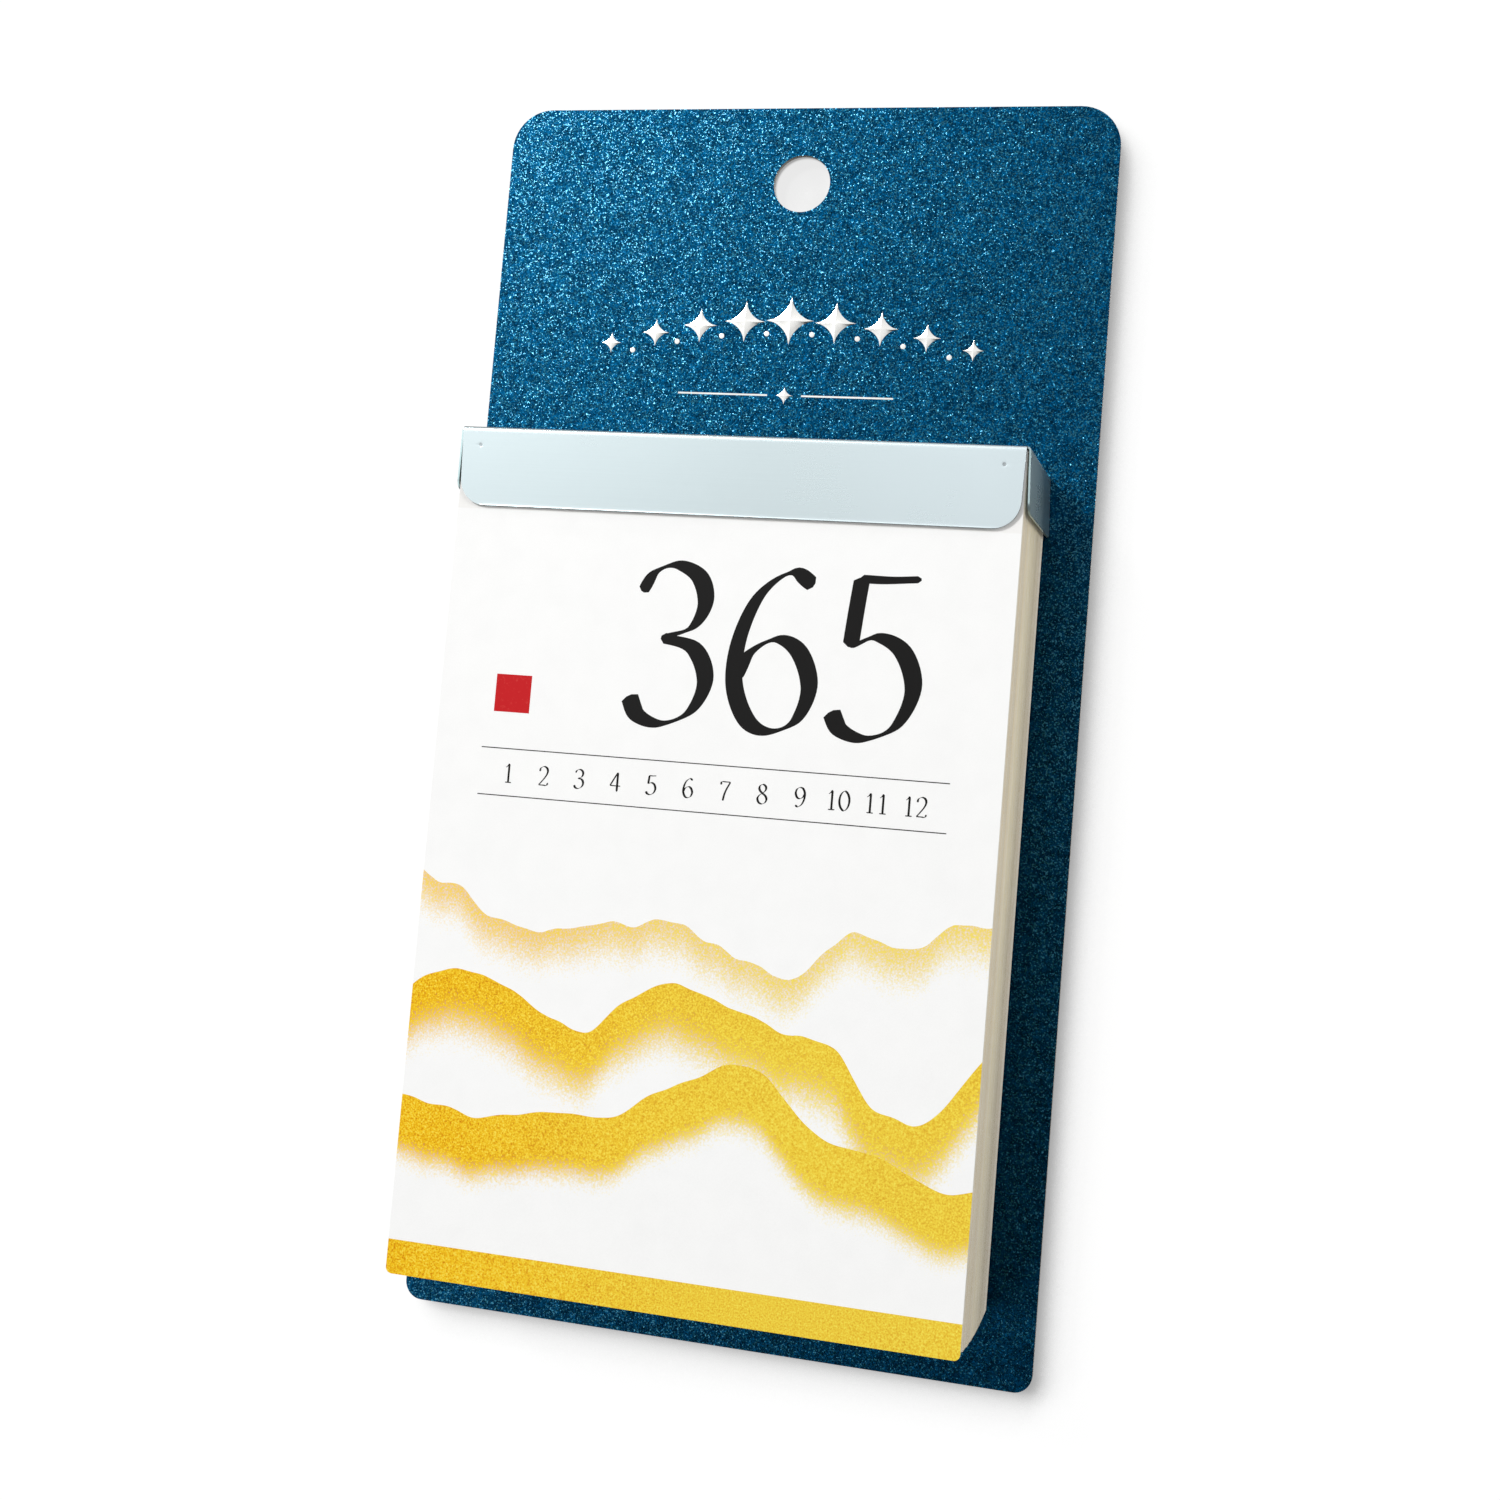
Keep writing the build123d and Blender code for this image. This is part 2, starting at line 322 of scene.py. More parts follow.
def closed_strip(left, right, depth, thickness, columns=4, ring=False):
    """Thin solid between two rims, each a row of (x, z) points: across the front from left to right, back
    behind it, and drawn together to its middle at both ends, unless it is a ring whose ends meet."""
    share = np.linspace(0, 1, columns)
    x = left[:, :1] + (right[:, :1] - left[:, :1]) * share
    z = left[:, 1:] + (right[:, 1:] - left[:, 1:]) * share
    front = depth(x, z) - thickness
    y = np.concatenate([front, front[:, ::-1] + thickness, front[:, :1]], axis=1)
    x = np.concatenate([x, x[:, ::-1], x[:, :1]], axis=1)
    z = np.concatenate([z, z[:, ::-1], z[:, :1]], axis=1)
    if ring:
        return grid_shell(x, y, z)

    def capped(values):
        first = np.full_like(values[:1], values[0, :-1].mean())
        last = np.full_like(values[:1], values[-1, :-1].mean())
        return np.concatenate([first, values, last])

    return grid_shell(capped(x), capped(y), capped(z))


def round_solid(centre, reach, angle, depth, thickness, dome=0.0, rings=5):
    """Thin solid round a centre: out along the front from the middle to the rim, which lies at reach in each
    direction, then in again behind it. The front swells by dome * (1 - share^2)."""
    share = np.linspace(0, 1, rings)[:, None]
    share = np.concatenate([share, share[::-1]])
    x = centre[0] + share * reach * np.cos(angle)
    z = centre[1] + share * reach * np.sin(angle)
    y = depth(x, z)
    y[:rings] -= thickness + dome * (1 - share[:rings] ** 2)
    return grid_shell(x, y, z)


# Numerals drawn with a broad nib, on a square of one unit

NIB_ANGLE = 24.0
NIB_LONG = 0.058
NIB_SHORT = 0.011
NUMERAL_STROKES = {
    "0": [[(0.30, 1.0), (0.11, 0.82), (0.04, 0.50), (0.11, 0.18), (0.30, 0.0), (0.49, 0.18), (0.56, 0.50),
           (0.49, 0.82), (0.30, 1.0)]],
    "1": [[(0.13, 0.80), (0.23, 0.88), (0.31, 1.0)], [(0.31, 1.0), (0.31, 0.5), (0.31, 0.0)],
          [(0.14, 0.012), (0.31, 0.012), (0.48, 0.012)]],
    "2": [[(0.06, 0.74), (0.11, 0.91), (0.28, 1.0), (0.45, 0.93), (0.51, 0.75), (0.43, 0.52), (0.24, 0.25),
           (0.05, 0.02)], [(0.05, 0.02), (0.30, 0.02), (0.48, 0.02), (0.56, 0.15)]],
    "3": [[(0.07, 0.82), (0.15, 0.95), (0.29, 1.0), (0.44, 0.93), (0.49, 0.77), (0.41, 0.61), (0.22, 0.54)],
          [(0.22, 0.54), (0.44, 0.48), (0.53, 0.29), (0.45, 0.09), (0.27, 0.0), (0.11, 0.04), (0.04, 0.16)]],
    "4": [[(0.42, 1.0), (0.22, 0.65), (0.03, 0.30)], [(0.03, 0.30), (0.30, 0.30), (0.60, 0.30)],
          [(0.42, 1.0), (0.42, 0.5), (0.42, 0.0)]],
    "5": [[(0.15, 0.975), (0.33, 0.975), (0.53, 0.99)], [(0.16, 0.98), (0.14, 0.78), (0.12, 0.55)],
          [(0.12, 0.55), (0.28, 0.62), (0.45, 0.54), (0.53, 0.32), (0.44, 0.09), (0.26, 0.0), (0.10, 0.04),
           (0.03, 0.15)]],
    "6": [[(0.52, 0.92), (0.37, 0.99), (0.18, 0.84), (0.07, 0.56), (0.06, 0.28), (0.16, 0.06), (0.31, 0.0),
           (0.47, 0.08), (0.54, 0.29), (0.46, 0.50), (0.31, 0.57), (0.15, 0.48), (0.07, 0.32)]],
    "7": [[(0.06, 0.82), (0.10, 0.965), (0.30, 0.975), (0.56, 0.975)],
          [(0.56, 0.975), (0.40, 0.66), (0.28, 0.34), (0.22, 0.0)]],
    "8": [[(0.30, 1.0), (0.16, 0.93), (0.12, 0.80), (0.17, 0.67), (0.30, 0.55), (0.46, 0.43), (0.54, 0.26),
           (0.47, 0.08), (0.30, 0.0), (0.13, 0.08), (0.06, 0.26), (0.14, 0.43), (0.30, 0.55), (0.43, 0.67),
           (0.48, 0.80), (0.44, 0.93), (0.30, 1.0)]],
    "9": [[(0.08, 0.08), (0.23, 0.01), (0.42, 0.16), (0.53, 0.44), (0.54, 0.72), (0.44, 0.94), (0.29, 1.0),
           (0.13, 0.92), (0.06, 0.71), (0.14, 0.50), (0.29, 0.43), (0.45, 0.52), (0.53, 0.68)]],
}
NUMERAL_ADVANCE = 0.66
NUMERAL_WIDTH = 0.6
STROKE_STEP = 1.7


def smooth_path(points, steps=9):
    """Curve through the points: on each run the four nearest points weigh in by the cubic that keeps the
    slope at a point equal to half the way from its neighbour before to its neighbour after."""
    points = np.asarray(points, dtype=float)
    if np.allclose(points[0], points[-1]):
        padded = np.concatenate([points[-2:-1], points, points[1:2]])
    else:
        padded = np.concatenate([2 * points[:1] - points[1:2], points, 2 * points[-1:] - points[-2:-1]])
    t = np.linspace(0, 1, steps, endpoint=False)[None, :, None]
    p0, p1, p2, p3 = (padded[k:len(padded) - 3 + k, None, :] for k in range(4))
    curve = p1 + 0.5 * t * (p2 - p0 + t * (2 * p0 - 5 * p1 + 4 * p2 - p3 + t * (3 * (p1 - p2) + p3 - p0)))
    return np.concatenate([curve.reshape(-1, 2), points[-1:]])


def nib_stroke(points, place, size, depth, order):
    """Ribbon that an oval nib leaves along a curve: half its width is sqrt((long * n1)^2 + (short * n2)^2),
    where n1 and n2 are the parts of the curve's normal along and across the nib. Open ends are rounded. The
    ink thickens a hair along an open stroke and from stroke to stroke, and by a sine round a closed one, so
    that one line lies on another where they cross."""
    path = smooth_path(points)
    closed = np.allclose(path[0], path[-1])
    slope = np.gradient(path, axis=0)
    if closed:
        slope[[0, -1]] = path[1] - path[-2]
    slope /= np.linalg.norm(slope, axis=1, keepdims=True)
    normal = np.stack([-slope[:, 1], slope[:, 0]], axis=1)
    nib = math.radians(NIB_ANGLE)
    along_nib = normal @ np.array([math.cos(nib), math.sin(nib)])
    across_nib = normal @ np.array([-math.sin(nib), math.cos(nib)])
    half = np.hypot(NIB_LONG * along_nib, NIB_SHORT * across_nib)
    run = np.concatenate([[0], np.cumsum(np.linalg.norm(np.diff(path, axis=0), axis=1))])
    if not closed:
        end = np.clip(np.minimum(run, run[-1] - run) / NIB_SHORT, 0.05, 1)
        half *= np.sqrt(1 - (1 - end) ** 2)
    side = normal * half[:, None]
    share = run[:, None] / run[-1]
    if closed:
        share = 0.5 + 0.5 * np.sin(2 * math.pi * share)
    ink = INK_THICKNESS + INK_OVERLAP * (STROKE_STEP * order + share)
    left = place + size * (path - side)
    right = place + size * (path + side)
    return closed_strip(left, right, depth, ink, ring=closed)


def numerals(text, place, size, depth):
    """Strokes of a row of numerals, centred at place across and standing on it."""
    left = place[0] - size * (NUMERAL_ADVANCE * (len(text) - 1) + NUMERAL_WIDTH) / 2
    shells = []
    for index, figure in enumerate(text):
        corner = np.array([left + size * NUMERAL_ADVANCE * index, place[1]])
        strokes = enumerate(NUMERAL_STROKES[figure])
        shells += [nib_stroke(stroke, corner, size, depth, order) for order, stroke in strokes]
    return shells


def printed_bar(left, right, foot, top, depth, rows=25):
    """Printed rectangle that follows the sheet's surface."""
    along = np.linspace(left, right, rows)
    lower = np.stack([along, np.full(rows, foot)], axis=1)
    upper = np.stack([along, np.full(rows, top)], axis=1)
    return closed_strip(lower, upper, depth, INK_THICKNESS)


def printed_spot(centre, radius, depth, around=32):
    """Printed round spot."""
    angle = np.linspace(0, 2 * math.pi, around + 1)
    return round_solid(centre, radius, angle, depth, INK_THICKNESS)


def foil_spot(centre, radius, depth, around=24):
    """Round spot of foil with a faint swell."""
    angle = np.linspace(0, 2 * math.pi, around + 1)
    return round_solid(centre, radius, angle, depth, INK_THICKNESS, FOIL_SWELL * radius)


def foil_star(centre, radius, depth, tips=4):
    """Star of foil with four fine tips and a faint swell: its rim is |x|^hollow + |z|^hollow = 1."""
    angle = np.linspace(0, 2 * math.pi, tips * 16 + 1)
    rim = np.abs(np.cos(angle)) ** STAR_HOLLOW + np.abs(np.sin(angle)) ** STAR_HOLLOW
    reach = radius * rim ** (-1 / STAR_HOLLOW)
    return round_solid(centre, reach, angle, depth, INK_THICKNESS, FOIL_SWELL * radius)


# Cover sheet, a little bowed at the foot

COVER_CORNER = 1.0
COVER_BOW = 0.35
BOW_MIDDLE = 0.55
BOW_TO_RIGHT = 0.45


def cover_depth(x, z):
    """Depth of the cover's front: flat above, and bowed forward towards the foot as the fourth power of the
    way down, more at the right than at the left."""
    down = np.clip((TEAR_LINE - z) / (TEAR_LINE - COVER_FOOT), 0, 1)
    return COVER_FRONT - COVER_BOW * down**4 * (BOW_MIDDLE + BOW_TO_RIGHT * x / HALF_LEAF)


def cover_solid(columns=47):
    """Cover sheet from the tear line to the foot, narrowed at the foot by its round corners, and which of its
    faces aren't on the printed front."""
    length = TEAR_LINE - COVER_FOOT
    rows = np.unique(np.round(np.concatenate([
        np.linspace(0, length - COVER_CORNER, 60),
        length - corner_steps(COVER_CORNER),
    ]), 4))
    half = HALF_LEAF - corner_cut(length - rows, COVER_CORNER)
    left = np.stack([-half, TEAR_LINE - rows], axis=1)
    right = np.stack([half, TEAR_LINE - rows], axis=1)

    def back(x, z):
        return cover_depth(x, z) + COVER_THICKNESS

    shell = closed_strip(left, right, back, COVER_THICKNESS, columns)
    strip = np.arange(2 * columns)
    plain = np.tile(strip >= columns - 1, len(rows) + 1)
    return shell, plain


# Nodes


def feed(tree, socket, value):
    """Links a socket to another socket, or sets its value."""
    if isinstance(value, bpy.types.NodeSocket):
        tree.links.new(value, socket)
    else:
        socket.default_value = value


def add_node(tree, kind, inputs=None, **settings):
    """Adds one node with its settings, and feeds its inputs by name or number."""
    made = tree.nodes.new("ShaderNode" + kind)
    for key, value in settings.items():
        setattr(made, key, value)
    for key, value in (inputs or {}).items():
        feed(tree, made.inputs[key], value)
    return made


def calc(tree, operation, *values):
    """Result of a Math node."""
    return add_node(tree, "Math", dict(enumerate(values)), operation=operation).outputs[0]


def span(tree, value, low, high, out_low=0.0, out_high=1.0, smooth=True):
    """Value carried from one range to another, held at the ends."""
    kind = "SMOOTHSTEP" if smooth else "LINEAR"
    inputs = {"Value": value, "From Min": low, "From Max": high, "To Min": out_low, "To Max": out_high}
    return add_node(tree, "MapRange", inputs, interpolation_type=kind).outputs[0]


def blend_colour(tree, share, first, second, mode="MIX"):
    """Colour mixed from two."""
    made = add_node(tree, "Mix", data_type="RGBA", blend_type=mode)
    for key, value in ((0, share), (6, first), (7, second)):
        feed(tree, made.inputs[key], value)
    return made.outputs[2]


def ramp(tree, value, *stops):
    """Colour from a row of (place, colour) stops."""
    made = add_node(tree, "ValToRGB", {"Fac": value})
    elements = made.color_ramp.elements
    while len(elements) < len(stops):
        elements.new(0.5)
    for element, (place, colour) in zip(elements, stops):
        element.position = place
        element.color = colour
    return made.outputs[0]


def grain(tree, vector, scale, detail=2.0, roughness=0.5):
    """Noise value at a scale per metre."""
    inputs = {"Vector": vector, "Scale": scale, "Detail": detail, "Roughness": roughness}
    return add_node(tree, "TexNoise", inputs).outputs[0]


def stretch(tree, vector, scale):
    """Coordinates scaled along each axis, so that a pattern is drawn out."""
    return add_node(tree, "Mapping", {"Vector": vector, "Scale": scale}).outputs[0]


def srgb(red, green, blue):
    """Linear colour from screen values of 0 to 255."""
    screen = np.array([red, green, blue]) / 255
    linear = np.where(screen <= 0.04045, screen / 12.92, ((screen + 0.055) / 1.055) ** 2.4)
    return (*linear.tolist(), 1.0)


def new_finish(name):
    """New material, its node tree, its shader and its Object coordinates."""
    material = bpy.data.materials.new(name)
    material.use_nodes = True
    tree = material.node_tree
    shader = tree.nodes["Principled BSDF"]
    place = add_node(tree, "TexCoord").outputs["Object"]
    return material, tree, shader, place


def bump(tree, shader, height, strength, distance):
    """Bump from a height feeding the shader's normal."""
    inputs = {"Height": height, "Strength": strength, "Distance": distance}
    feed(tree, shader.inputs["Normal"], add_node(tree, "Bump", inputs).outputs[0])


# Shared effects


def new_group(name, inputs, outputs):
    """Shader node group with named sockets; gives its tree, its input node and its output node."""
    tree = bpy.data.node_groups.new(name, "ShaderNodeTree")
    for label, kind in inputs:
        tree.interface.new_socket(label, in_out="INPUT", socket_type=kind)
    for label, kind in outputs:
        tree.interface.new_socket(label, in_out="OUTPUT", socket_type=kind)
    return tree, tree.nodes.new("NodeGroupInput"), tree.nodes.new("NodeGroupOutput")


def place_group(tree, group, inputs):
    """Places a node group in a tree and feeds its inputs."""
    made = tree.nodes.new("ShaderNodeGroup")
    made.node_tree = group
    for key, value in inputs.items():
        feed(tree, made.inputs[key], value)
    return made


def paper_fibre_group():
    """Paper: fine felted fibres and soft clouds, as a tone from 0 to 1 and a height."""
    tree, inside, outside = new_group(
        "paper_fibre",
        [("Vector", "NodeSocketVector"), ("Fibre Scale", "NodeSocketFloat")],
        [("Tone", "NodeSocketFloat"), ("Height", "NodeSocketFloat")],
    )
    vector = inside.outputs["Vector"]
    scale = inside.outputs["Fibre Scale"]
    fibres = grain(tree, vector, scale, 4.0, 0.65)
    clouds = grain(tree, vector, calc(tree, "MULTIPLY", scale, 0.06), 2.0)
    tone = calc(tree, "ADD", calc(tree, "MULTIPLY", fibres, 0.6), calc(tree, "MULTIPLY", clouds, 0.4))
    feed(tree, outside.inputs["Tone"], span(tree, tone, 0.3, 0.7))
    feed(tree, outside.inputs["Height"], fibres)
    return tree


def rolled_metal_group():
    """Rolled sheet or drawn wire: fine lines along one way and soft smudges, as a tone and a height."""
    tree, inside, outside = new_group(
        "rolled_metal",
        [("Vector", "NodeSocketVector"), ("Line Scale", "NodeSocketVector")],
        [("Lines", "NodeSocketFloat"), ("Smudge", "NodeSocketFloat")],
    )
    drawn = add_node(tree, "VectorMath", {0: inside.outputs[0], 1: inside.outputs[1]}, operation="MULTIPLY")
    lines = grain(tree, drawn.outputs[0], 1.0, 3.0, 0.6)
    smudge = grain(tree, inside.outputs[0], 90.0, 3.0, 0.55)
    feed(tree, outside.inputs["Lines"], lines)
    feed(tree, outside.inputs["Smudge"], span(tree, smudge, 0.35, 0.7))
    return tree


def gold_grain_group():
    """Gold print: yellow and amber stipple with pale and dark specks."""
    tree, inside, outside = new_group(
        "gold_grain", [("Vector", "NodeSocketVector")],
        [("Colour", "NodeSocketColor"), ("Stipple", "NodeSocketFloat")],
    )
    vector = inside.outputs[0]
    fine = grain(tree, vector, 3600.0, 1.0, 0.6)
    broad = grain(tree, vector, 55.0, 2.0)
    tone = calc(tree, "ADD", fine, calc(tree, "MULTIPLY", calc(tree, "SUBTRACT", broad, 0.5), 0.15))
    colour = ramp(
        tree, tone,
        (0.26, srgb(206, 128, 16)), (0.40, srgb(232, 172, 22)), (0.56, srgb(245, 200, 34)),
        (0.74, srgb(250, 222, 84)),
    )
    feed(tree, outside.inputs["Colour"], colour)
    feed(tree, outside.inputs["Stipple"], fine)
    return tree


PAPER_FIBRE = paper_fibre_group()
ROLLED_METAL = rolled_metal_group()
GOLD_GRAIN = gold_grain_group()


# Finishes: noise scales are per metre, and an edge is the noise value at which a patch begins and is full

RIPPLE_SCALE = 3800.0
RIPPLE_TILT = 0.9
FLAKE_SCALE = 3500.0
FLAKE_EDGE = (0.56, 0.61)
FLAKE_SHIFT = (0.7, 0.3, 0.5)
COAT_SCALE = 700.0
COAT_ROUGH = 0.44
FLAKE_ROUGH = 0.28


def glitter_paper():
    """Deep blue metallic coat, uneven in tone, with small smooth flakes in it; the whole surface ripples, so
    that a flake flashes where it happens to face the lamp."""
    material, tree, shader, place = new_finish("glitter_paper")
    ripple = add_node(tree, "TexNoise", {"Vector": place, "Scale": RIPPLE_SCALE, "Detail": 1.5}).outputs[1]
    elsewhere = add_node(tree, "VectorMath", {0: place, 1: FLAKE_SHIFT}, operation="ADD").outputs[0]
    flake = span(tree, grain(tree, elsewhere, FLAKE_SCALE, 1.0), *FLAKE_EDGE)
    cloud = grain(tree, place, COAT_SCALE, 2.0)
    coat = blend_colour(tree, span(tree, cloud, 0.35, 0.65), srgb(0, 41, 67), srgb(0, 56, 88))
    colour = blend_colour(tree, flake, coat, srgb(8, 88, 111))
    feed(tree, shader.inputs["Base Color"], colour)
    shader.inputs["Metallic"].default_value = 0.94
    shader.inputs["Specular IOR Level"].default_value = 0.1
    feed(tree, shader.inputs["Roughness"], span(tree, flake, 0.0, 1.0, COAT_ROUGH, FLAKE_ROUGH, False))
    tilt = add_node(tree, "VectorMath", {0: ripple, 1: (0.5, 0.5, 0.5)}, operation="SUBTRACT")
    tilt = add_node(tree, "VectorMath", {0: tilt.outputs[0], "Scale": RIPPLE_TILT}, operation="SCALE")
    normal = add_node(tree, "NewGeometry").outputs["Normal"]
    tilted = add_node(tree, "VectorMath", {0: normal, 1: tilt.outputs[0]}, operation="ADD")
    unit = add_node(tree, "VectorMath", {0: tilted.outputs[0]}, operation="NORMALIZE")
    feed(tree, shader.inputs["Normal"], unit.outputs[0])
    feed(tree, shader.inputs["Coat Normal"], unit.outputs[0])
    feed(tree, shader.inputs["Coat Weight"], calc(tree, "MULTIPLY", flake, 0.5))
    shader.inputs["Coat Roughness"].default_value = 0.16
    return material


def card_finish(name, dark, pale, scale):
    """Uncoated card: a felted tone between two greys, with a faint rough relief."""
    material, tree, shader, place = new_finish(name)
    fibre = place_group(tree, PAPER_FIBRE, {"Vector": place, "Fibre Scale": scale})
    specks = span(tree, grain(tree, place, scale * 0.9, 1.0), 0.68, 0.74)
    colour = blend_colour(tree, fibre.outputs["Tone"], dark, pale)
    colour = blend_colour(tree, calc(tree, "MULTIPLY", specks, 0.35), colour, srgb(96, 88, 78))
    feed(tree, shader.inputs["Base Color"], colour)
    feed(tree, shader.inputs["Roughness"], span(tree, fibre.outputs["Tone"], 0.0, 1.0, 0.92, 0.8, False))
    bump(tree, shader, fibre.outputs["Height"], 0.35, 0.00006)
    return material


LEAF_LINES = (5.0, 4200.0, 5.0)
LEAF_BANDS = (3.0, 330.0, 3.0)
BAND_WAVER = 0.16
# Painted shade on the leaf edges: between these two heights the tone rises from the first factor at the foot
# to full
FOOT_SHADE = (-0.184, -0.110, 0.78, 1.0)
STACK_TONES = (
    (0.00, srgb(226, 210, 174)), (0.28, srgb(227, 211, 174)), (0.36, srgb(240, 228, 193)),
    (0.46, srgb(224, 211, 168)), (0.72, srgb(208, 193, 149)), (0.90, srgb(221, 202, 167)),
    (0.985, srgb(244, 236, 220)),
)


def leaf_paper():
    """Thin cream paper: on the cut edges each leaf shows as a fine line along the stack, and the stack is
    tan at the front, olive further back, pinkish behind and pale at the last leaves, with painted shade that
    darkens it towards the foot."""
    material, tree, shader, place = new_finish("leaf_paper")
    fibre = place_group(tree, PAPER_FIBRE, {"Vector": place, "Fibre Scale": 5200.0})
    face = blend_colour(tree, fibre.outputs["Tone"], srgb(244, 241, 232), srgb(250, 248, 242))
    lines = grain(tree, stretch(tree, place, LEAF_LINES), 1.0, 2.0, 0.7)
    bands = grain(tree, stretch(tree, place, LEAF_BANDS), 1.0, 3.0, 0.6)
    tone = calc(tree, "ADD", calc(tree, "MULTIPLY", lines, 0.3), calc(tree, "MULTIPLY", bands, 0.7))
    axes = add_node(tree, "SeparateXYZ", {0: place}).outputs
    through = span(tree, axes[1], PAD_FRONT * MM, PAD_BACK * MM, 0.0, 1.0, False)
    waver = calc(tree, "MULTIPLY", calc(tree, "SUBTRACT", bands, 0.5), BAND_WAVER)
    stack = ramp(tree, calc(tree, "ADD", through, waver), *STACK_TONES)
    streak = span(tree, tone, 0.38, 0.62, 0.92, 1.28, False)
    # painted shade: the edges darken towards the foot
    streak = calc(tree, "MULTIPLY", streak, span(tree, axes[2], *FOOT_SHADE))
    shade = add_node(tree, "CombineColor", {0: streak, 1: streak, 2: streak}).outputs[0]
    edge = blend_colour(tree, 1.0, stack, shade, "MULTIPLY")
    side = add_node(tree, "SeparateXYZ", {0: add_node(tree, "TexCoord").outputs["Normal"]}).outputs[1]
    on_face = span(tree, calc(tree, "ABSOLUTE", side), 0.4, 0.6)
    feed(tree, shader.inputs["Base Color"], blend_colour(tree, on_face, edge, face))
    feed(tree, shader.inputs["Roughness"], span(tree, tone, 0.0, 1.0, 0.95, 0.75, False))
    shader.inputs["Specular IOR Level"].default_value = 0.0
    bump(tree, shader, lines, 0.12, 0.00004)
    return material


# Printed ridges from the furthest to the nearest: height, rise, waves per metre, seed, fade and strength
RIDGES = (
    (-0.1255, 0.040, 30.0, 3.1, 0.014, 0.50),
    (-0.1390, 0.048, 25.0, 11.7, 0.020, 0.74),
    (-0.1565, 0.038, 21.0, 24.4, 0.017, 1.0),
)
PRINT_EDGE = 0.00012
BAND_EDGE = 0.00006
MIST_GRAIN = 0.5
MIST_EDGE = (0.22, 0.62)


def ridge_mask(tree, across, up, base, rise, scale, seed, fade, strength):
    """One printed ridge: at its strength on its line, base + rise * noise across, clear above it and fading
    below it."""
    wave = add_node(tree, "TexNoise", {"W": calc(tree, "ADD", calc(tree, "MULTIPLY", across, scale), seed),
                                       "Scale": 1.0, "Detail": 3.0, "Roughness": 0.36}, noise_dimensions="1D")
    line = calc(tree, "ADD", base, calc(tree, "MULTIPLY", calc(tree, "SUBTRACT", wave.outputs[0], 0.5), rise))
    below = calc(tree, "SUBTRACT", line, up)
    under = span(tree, below, 0.0, PRINT_EDGE, 0.0, 1.0, False)
    return calc(tree, "MULTIPLY", under, span(tree, below, 0.0, fade, strength, 0.0))


def cover_print():
    """Coated white paper printed with a gold band at the foot and three grainy gold ridges in mist; towards
    the right the gold is paler and yellower, a painted sheen.
    """
    material, tree, shader, place = new_finish("cover_print")
    fibre = place_group(tree, PAPER_FIBRE, {"Vector": place, "Fibre Scale": 4200.0})
    paper = blend_colour(tree, fibre.outputs["Tone"], srgb(247, 247, 246), srgb(251, 251, 250))
    gold = place_group(tree, GOLD_GRAIN, {"Vector": place})
    axes = add_node(tree, "SeparateXYZ", {0: place}).outputs
    ridges = [ridge_mask(tree, axes[0], axes[2], *ridge) for ridge in RIDGES]
    mist = ridges[0]
    for ridge in ridges[1:]:
        mist = calc(tree, "MAXIMUM", mist, ridge)
    stipple = calc(tree, "SUBTRACT", gold.outputs["Stipple"], 0.5)
    dotted = span(tree, calc(tree, "ADD", mist, calc(tree, "MULTIPLY", stipple, MIST_GRAIN)), *MIST_EDGE)
    dotted = calc(tree, "MULTIPLY", dotted, span(tree, mist, 0.0, 0.12))
    band = span(tree, axes[2], BAND_TOP * MM, BAND_TOP * MM + BAND_EDGE, 1.0, 0.0, False)
    share = calc(tree, "MAXIMUM", dotted, band)
    # painted sheen: the gold turns paler and yellower from the left towards the middle right
    sheen_share = span(tree, axes[0], -HALF_LEAF * MM, 0.4 * HALF_LEAF * MM, 0.0, 0.6)
    painted_sheen = blend_colour(tree, gold.outputs["Stipple"], srgb(222, 170, 18), srgb(252, 248, 108))
    ink = blend_colour(tree, sheen_share, gold.outputs["Colour"], painted_sheen)
    feed(tree, shader.inputs["Base Color"], blend_colour(tree, share, paper, ink))
    feed(tree, shader.inputs["Roughness"], span(tree, share, 0.0, 1.0, 0.55, 0.42, False))
    feed(tree, shader.inputs["Specular IOR Level"], span(tree, share, 0.0, 1.0, 0.3, 0.05, False))
    bump(tree, shader, fibre.outputs["Height"], 0.08, 0.00003)
    return material


def plain_cover_paper():
    """Coated white paper with faint fibres."""
    material, tree, shader, place = new_finish("plain_cover_paper")
    fibre = place_group(tree, PAPER_FIBRE, {"Vector": place, "Fibre Scale": 4200.0})
    paper = blend_colour(tree, fibre.outputs["Tone"], srgb(240, 239, 236), srgb(247, 246, 244))
    feed(tree, shader.inputs["Base Color"], paper)
    feed(tree, shader.inputs["Roughness"], span(tree, fibre.outputs["Tone"], 0.0, 1.0, 0.62, 0.5, False))
    bump(tree, shader, fibre.outputs["Height"], 0.1, 0.00003)
    return material


def metal_finish(name, dull, bright, line_scale, rough, relief, metallic=1.0, painted_right_light=None):
    """Bright metal: two tones mixed by rolled lines and smudges, with a roughness that follows them. A third,
    brighter tone of painted light may come in from the middle to the right end."""
    material, tree, shader, place = new_finish(name)
    metal = place_group(tree, ROLLED_METAL, {"Vector": place, "Line Scale": line_scale})
    tone = calc(tree, "ADD", calc(tree, "MULTIPLY", metal.outputs["Lines"], 0.5),
                calc(tree, "MULTIPLY", metal.outputs["Smudge"], 0.5))
    # painted light: the metal brightens from the middle to the right end
    colour = blend_colour(tree, tone, dull, bright)
    if painted_right_light is not None:
        across = add_node(tree, "SeparateXYZ", {0: place}).outputs[0]
        colour = blend_colour(tree, span(tree, across, 0.0, HALF_LEAF * MM), colour, painted_right_light)
    feed(tree, shader.inputs["Base Color"], colour)
    shader.inputs["Metallic"].default_value = metallic
    feed(tree, shader.inputs["Roughness"], span(tree, tone, 0.2, 0.8, rough[1], rough[0], False))
    bump(tree, shader, metal.outputs["Lines"], relief, 0.00002)
    return material


